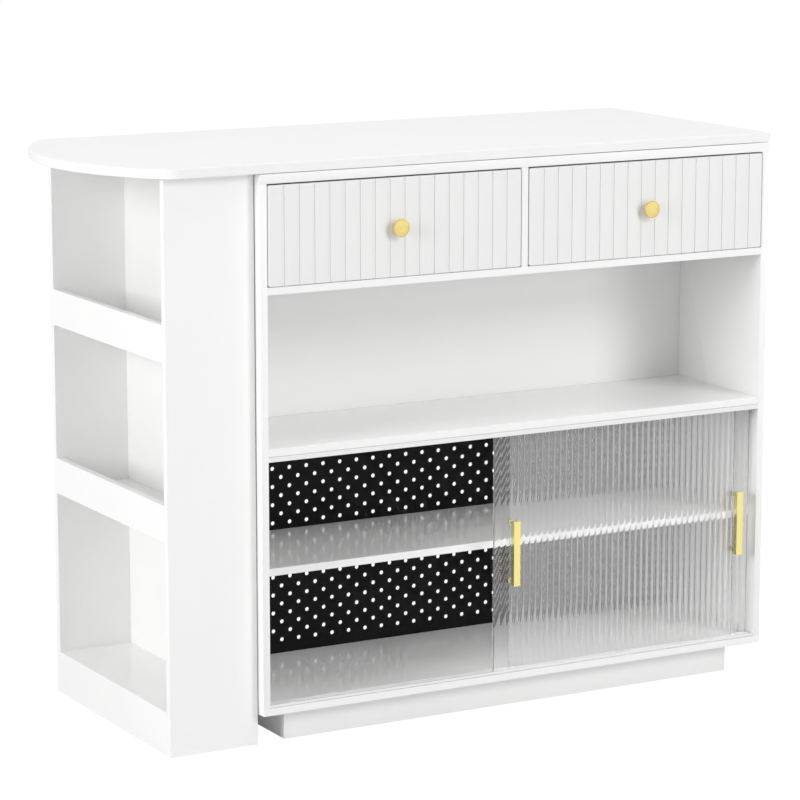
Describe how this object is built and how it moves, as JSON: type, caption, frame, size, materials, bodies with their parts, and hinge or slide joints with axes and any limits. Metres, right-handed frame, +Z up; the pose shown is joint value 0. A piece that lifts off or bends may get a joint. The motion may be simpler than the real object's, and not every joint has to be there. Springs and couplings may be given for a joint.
{
  "type": "kitchen island unit",
  "caption": "Kitchen island unit with a rounded worktop, an open end tower, fluted drawers, an open bay and sliding fluted glass doors.",
  "frame": {"origin": "on the floor, in the middle of the overall width and of the overall depth over the knobs", "axes": "+X along the front from the tower towards the cabinet's free side, +Y from the front to the back, +Z up"},
  "size_m": [1.193, 0.51, 0.92],
  "materials": {
    "worktop": "satin white laminate on board",
    "white_board": "satin white laminate on board",
    "black_panel": "matte black, perforated",
    "reeded_glass": "clear, vertical hollow flutes in the front",
    "gold": "satin gold",
    "steel": "zinc plated",
    "track": "white",
    "pad": "matte"
  },
  "bodies": {
    "cabinet": {"worktop": "worktop", "worktop_pads": "pad", "worktop_screws": "steel", "worktop_brackets": "steel", "tower_front_panel": "white_board", "tower_back_panel": "white_board", "tower_divider": "white_board", "tower_kickboard": "white_board", "tower_floor": "white_board", "tower_lower_shelf": "white_board", "tower_upper_shelf": "white_board", "tower_lower_rail": "white_board", "tower_upper_rail": "white_board", "joining_spacers": "steel", "joining_bolts": "steel", "cabinet_left_side": "white_board", "cabinet_right_side": "white_board", "cabinet_bottom": "white_board", "cabinet_top": "white_board", "open_bay_floor": "white_board", "drawer_bay_floor": "white_board", "drawer_divider": "white_board", "upper_back_panel": "white_board", "perforated_back_panel": "black_panel", "adjustable_shelf": "white_board", "shelf_pins": "steel", "plinth_front": "white_board", "plinth_back": "white_board", "plinth_left_end": "white_board", "plinth_right_end": "white_board", "lower_track": "track", "upper_track": "track", "left_cabinet_runners": "steel", "right_cabinet_runners": "steel"},
    "left_door": {"left_door_glass": "reeded_glass", "left_door_handle": "gold", "left_door_screws": "steel"},
    "right_door": {"right_door_glass": "reeded_glass", "right_door_handle": "gold", "right_door_screws": "steel"},
    "left_drawer": {"left_drawer_front": "white_board", "left_drawer_left_side": "white_board", "left_drawer_right_side": "white_board", "left_drawer_back": "white_board", "left_drawer_bottom": "white_board", "left_drawer_runners": "steel", "left_drawer_knob": "gold", "left_drawer_knob_screw": "steel"},
    "right_drawer": {"right_drawer_front": "white_board", "right_drawer_left_side": "white_board", "right_drawer_right_side": "white_board", "right_drawer_back": "white_board", "right_drawer_bottom": "white_board", "right_drawer_runners": "steel", "right_drawer_knob": "gold", "right_drawer_knob_screw": "steel"}
  },
  "joints": [
    {"name": "left_door_slide", "type": "slide", "parent": "cabinet", "child": "left_door", "axis": [1, 0, 0], "range_m": [-0.4035, 0]},
    {"name": "right_door_slide", "type": "slide", "parent": "cabinet", "child": "right_door", "axis": [1, 0, 0], "range_m": [0, 0.006]},
    {"name": "left_drawer_slide", "type": "slide", "parent": "cabinet", "child": "left_drawer", "axis": [0, -1, 0], "range_m": [0, 0.15]},
    {"name": "right_drawer_slide", "type": "slide", "parent": "cabinet", "child": "right_drawer", "axis": [0, -1, 0], "range_m": [0, 0.15]}
  ]
}
